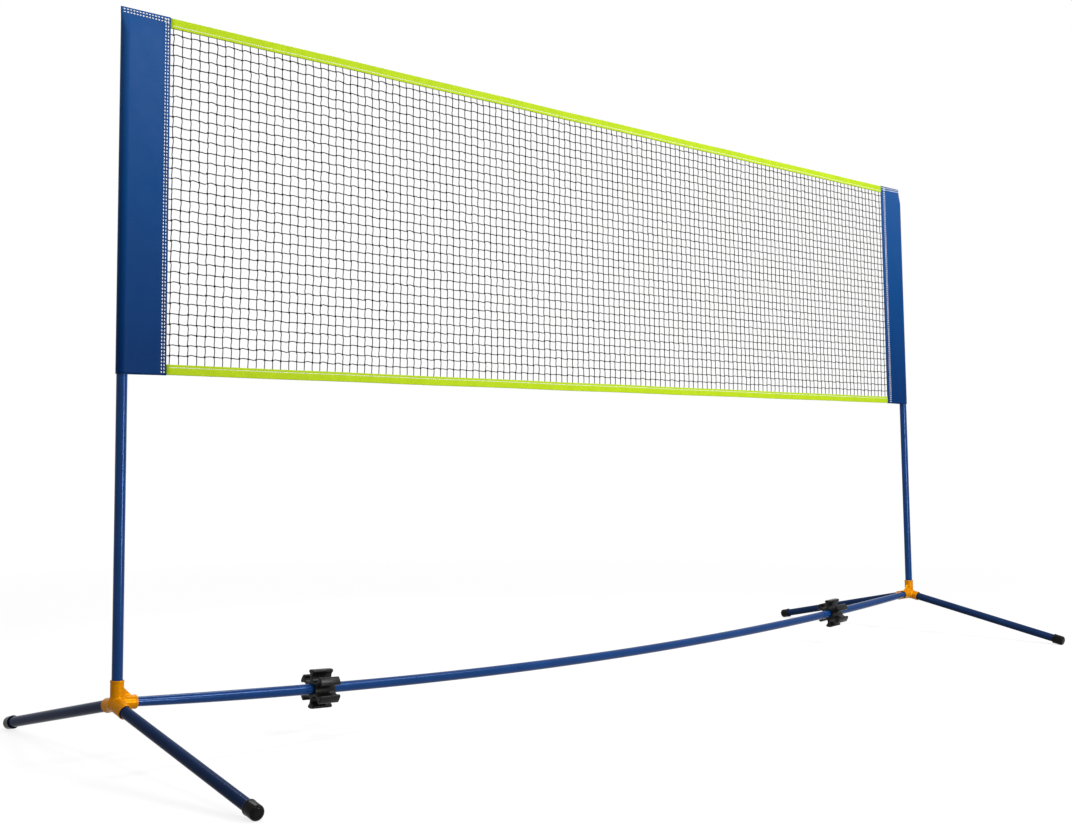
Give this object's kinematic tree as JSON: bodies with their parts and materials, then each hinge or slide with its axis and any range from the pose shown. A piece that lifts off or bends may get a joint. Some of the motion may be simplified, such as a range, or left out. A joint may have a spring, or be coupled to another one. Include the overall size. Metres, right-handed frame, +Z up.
{
  "type": "folding badminton net",
  "caption": "Free-standing portable badminton net: leaning posts on a bowed crossbar with slanting legs, plastic corner connectors, storage clips and a sleeved mesh net.",
  "frame": {"origin": "on the floor, midway between the posts and midway between the front and rear feet", "axes": "+X along the net from the left post to the right post, +Y across the net towards the rear feet, +Z up"},
  "size_m": [3.0498, 1.0634, 1.55],
  "materials": {
    "blue_paint": "gloss",
    "yellow_plastic": "gloss",
    "black_rubber": "semi-gloss",
    "black_plastic": "satin",
    "bare_steel": "plain",
    "black_twine": "knotted twine",
    "lime_tape": "woven tape",
    "blue_cloth": "coated cloth"
  },
  "bodies": {
    "base": {"left_base_connector": "yellow_plastic", "right_base_connector": "yellow_plastic", "left_outer_crossbar_tube": "blue_paint", "left_inner_crossbar_tube": "blue_paint", "right_inner_crossbar_tube": "blue_paint", "right_outer_crossbar_tube": "blue_paint", "left_crossbar_spigot": "bare_steel", "middle_crossbar_spigot": "bare_steel", "right_crossbar_spigot": "bare_steel", "left_lower_post": "blue_paint", "right_lower_post": "blue_paint"},
    "left_front_leg_body": {"left_front_leg": "blue_paint", "left_front_foot_cap": "black_rubber"},
    "left_rear_leg_body": {"left_rear_leg": "blue_paint", "left_rear_foot_cap": "black_rubber"},
    "right_front_leg_body": {"right_front_leg": "blue_paint", "right_front_foot_cap": "black_rubber"},
    "right_rear_leg_body": {"right_rear_leg": "blue_paint", "right_rear_foot_cap": "black_rubber"},
    "left_clip": {"left_storage_clip": "black_plastic"},
    "right_clip": {"right_storage_clip": "black_plastic"},
    "left_post_top": {"left_upper_post": "blue_paint", "left_post_spigot": "bare_steel", "left_post_top_plug": "black_plastic"},
    "right_post_top": {"right_upper_post": "blue_paint", "right_post_spigot": "bare_steel", "right_post_top_plug": "black_plastic"},
    "net": {"net_mesh": "black_twine", "top_band": "lime_tape", "bottom_band": "lime_tape", "left_sleeve": "blue_cloth", "right_sleeve": "blue_cloth"}
  },
  "joints": [
    {"name": "left_front_leg_pull", "type": "slide", "parent": "base", "child": "left_front_leg_body", "axis": [0, -0.9778, -0.2096], "range_m": [0, 0.032]},
    {"name": "left_rear_leg_pull", "type": "slide", "parent": "base", "child": "left_rear_leg_body", "axis": [0, 0.9778, -0.2096], "range_m": [0, 0.016]},
    {"name": "right_front_leg_pull", "type": "slide", "parent": "base", "child": "right_front_leg_body", "axis": [0, -0.9778, -0.2096], "range_m": [0, 0.016]},
    {"name": "right_rear_leg_pull", "type": "slide", "parent": "base", "child": "right_rear_leg_body", "axis": [0, 0.9778, -0.2096], "range_m": [0, 0.032]},
    {"name": "left_clip_slide", "type": "slide", "parent": "base", "child": "left_clip", "axis": [0.9988, 0, -0.0497], "range_m": [-0.1, 0.1]},
    {"name": "right_clip_slide", "type": "slide", "parent": "base", "child": "right_clip", "axis": [0.9987, 0, 0.0509], "range_m": [-0.1, 0.1]},
    {"name": "left_post_pull", "type": "slide", "parent": "base", "child": "left_post_top", "axis": [0.0131, 0, 0.9999], "range_m": [0, 0.062]},
    {"name": "right_post_pull", "type": "slide", "parent": "base", "child": "right_post_top", "axis": [-0.0131, 0, 0.9999], "range_m": [0, 0.062]},
    {"name": "net_lift", "type": "slide", "parent": "left_post_top", "child": "net", "axis": [0, 0, 1], "range_m": [0, 0.72]}
  ],
  "couplings": [
    {"joint": "right_post_pull", "follows": "left_post_pull", "ratio": 1}
  ]
}
